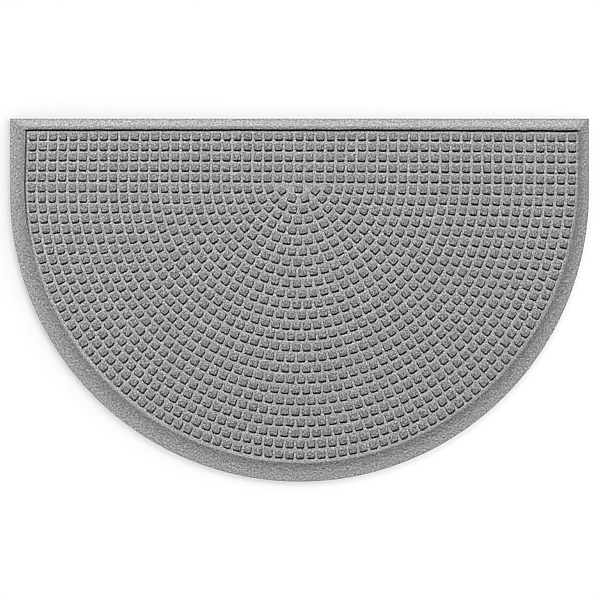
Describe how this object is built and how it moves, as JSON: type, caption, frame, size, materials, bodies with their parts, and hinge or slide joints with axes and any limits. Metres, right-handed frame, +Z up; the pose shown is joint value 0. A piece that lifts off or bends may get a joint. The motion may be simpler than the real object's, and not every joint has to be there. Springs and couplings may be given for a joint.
{
  "type": "half-round doormat",
  "caption": "Half-round moulded felt doormat with a raised border and a sunk field of small raised squares in straight rows and half rings.",
  "frame": {"origin": "on the underside, in the middle of the mat's box", "axes": "+X along the straight edge, to the right seen from above; +Y from the round end to the straight edge; +Z up, out of the felt face"},
  "size_m": [0.9906, 0.6209, 0.0095],
  "materials": {
    "felt": "matt, speckled grey needle-punched felt",
    "rubber": "matt"
  },
  "bodies": {
    "root": {"mat": "felt"}
  },
  "joints": []
}
